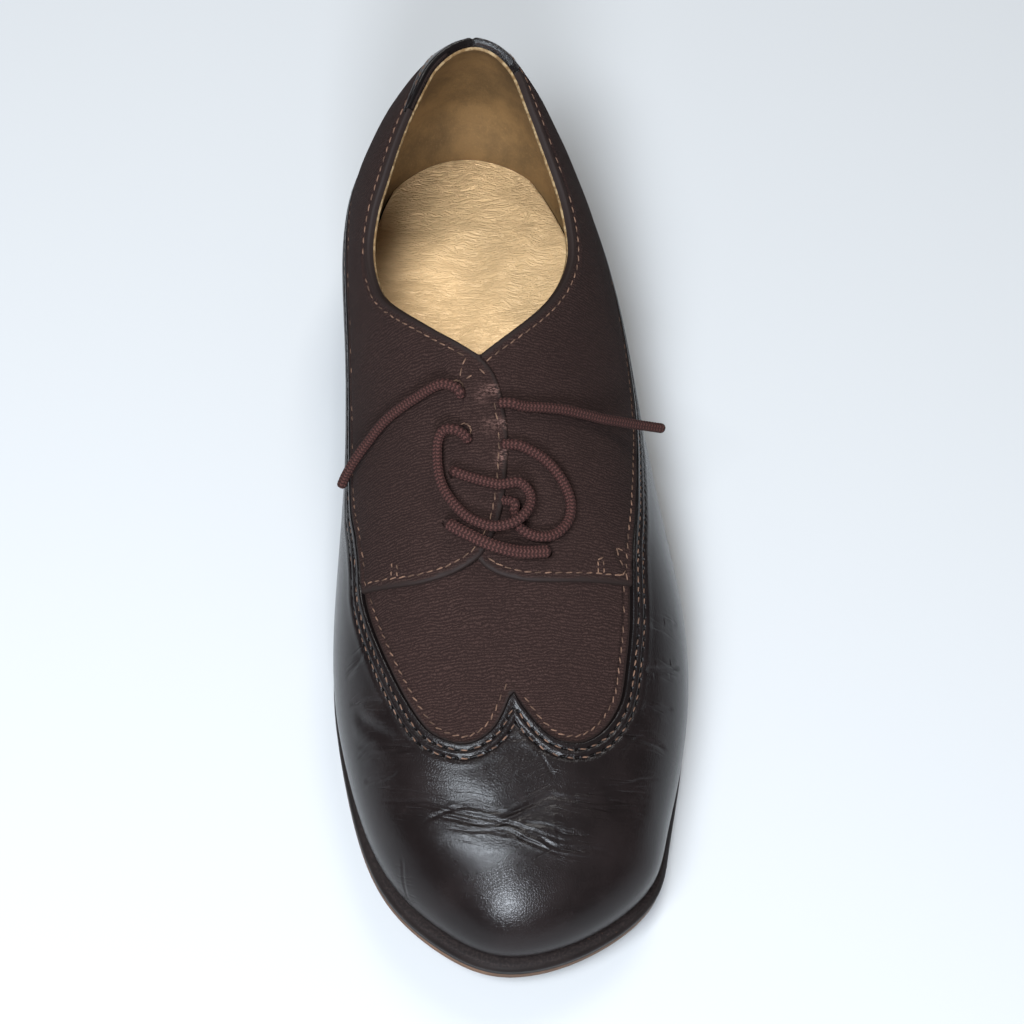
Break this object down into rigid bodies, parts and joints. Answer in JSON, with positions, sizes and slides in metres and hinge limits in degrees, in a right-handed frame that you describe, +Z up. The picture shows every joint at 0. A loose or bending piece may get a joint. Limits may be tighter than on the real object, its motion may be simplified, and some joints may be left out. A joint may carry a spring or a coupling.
{
  "type": "derby shoe",
  "caption": "Left lace-up shoe with a leather wing-tip mudguard, open fabric quarters, a low stacked heel and a loosened lace.",
  "frame": {"origin": "on the floor, under the middle of the shoe's box", "axes": "+Z up, +Y towards the heel, +X towards the outer side of the left foot"},
  "size_m": [0.1038, 0.276, 0.0908],
  "materials": {
    "leather": "dark espresso smooth leather, semi-gloss",
    "fabric": "dark reddish brown ribbed cloth, matt",
    "sole": "dark brown edge, satin",
    "tread": "brown, matt",
    "insole": "golden crinkled leather, satin",
    "lace": "braided round cord, matt"
  },
  "bodies": {
    "root": {"outsole": "tread", "midsole": "sole", "heel_lift": "tread", "heel_block": "sole", "insole": "insole", "upper": "fabric", "mudguard": "leather", "backstay": "leather", "quarter_lateral": "fabric", "quarter_medial": "fabric", "lace_bar": "lace", "lace_end_medial": "lace", "lace_end_lateral": "lace", "lace_loop_medial": "lace", "lace_loop_lateral": "lace"}
  },
  "joints": []
}
